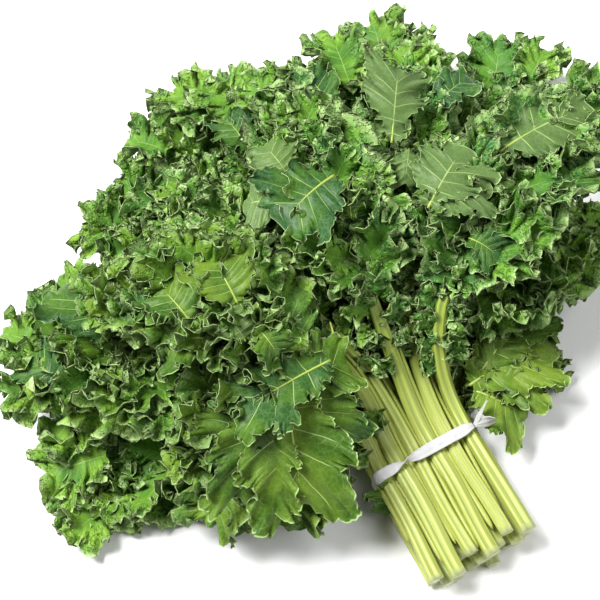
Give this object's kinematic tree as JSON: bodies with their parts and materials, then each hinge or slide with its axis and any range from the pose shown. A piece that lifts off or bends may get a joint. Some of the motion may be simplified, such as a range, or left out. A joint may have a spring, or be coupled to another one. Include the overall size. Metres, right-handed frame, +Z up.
{
  "type": "kale bunch",
  "caption": "Bunch of curly kale leaves lying down, their pale stems gathered in a white twist tie.",
  "frame": {"origin": "on the resting surface, under the middle of the tie", "axes": "+Y from the cut ends of the stems towards the leaves, along the stems where they pass the tie, +Z up, away from the resting surface"},
  "size_m": [0.4326, 0.3693, 0.1257],
  "materials": {
    "stem": "smooth pale yellow-green plant stem",
    "leaf": "slightly waxy ruffled green leaf",
    "tie": "matt white paper ribbon"
  },
  "bodies": {
    "root": {"leaf_01_stem": "stem", "leaf_01_blade": "leaf", "leaf_02_stem": "stem", "leaf_02_blade": "leaf", "leaf_03_stem": "stem", "leaf_03_blade": "leaf", "leaf_04_stem": "stem", "leaf_04_blade": "leaf", "leaf_05_stem": "stem", "leaf_05_blade": "leaf", "leaf_06_stem": "stem", "leaf_06_blade": "leaf", "leaf_07_stem": "stem", "leaf_07_blade": "leaf", "leaf_08_stem": "stem", "leaf_08_blade": "leaf", "leaf_09_stem": "stem", "leaf_09_blade": "leaf", "leaf_10_stem": "stem", "leaf_10_blade": "leaf", "leaf_11_stem": "stem", "leaf_11_blade": "leaf", "leaf_12_stem": "stem", "leaf_12_blade": "leaf", "leaf_13_stem": "stem", "leaf_13_blade": "leaf", "leaf_14_stem": "stem", "leaf_14_blade": "leaf", "leaf_15_stem": "stem", "leaf_15_blade": "leaf", "leaf_16_stem": "stem", "leaf_16_blade": "leaf", "leaf_17_stem": "stem", "leaf_17_blade": "leaf", "side_leaflet": "leaf", "twist_tie": "tie"}
  },
  "joints": []
}
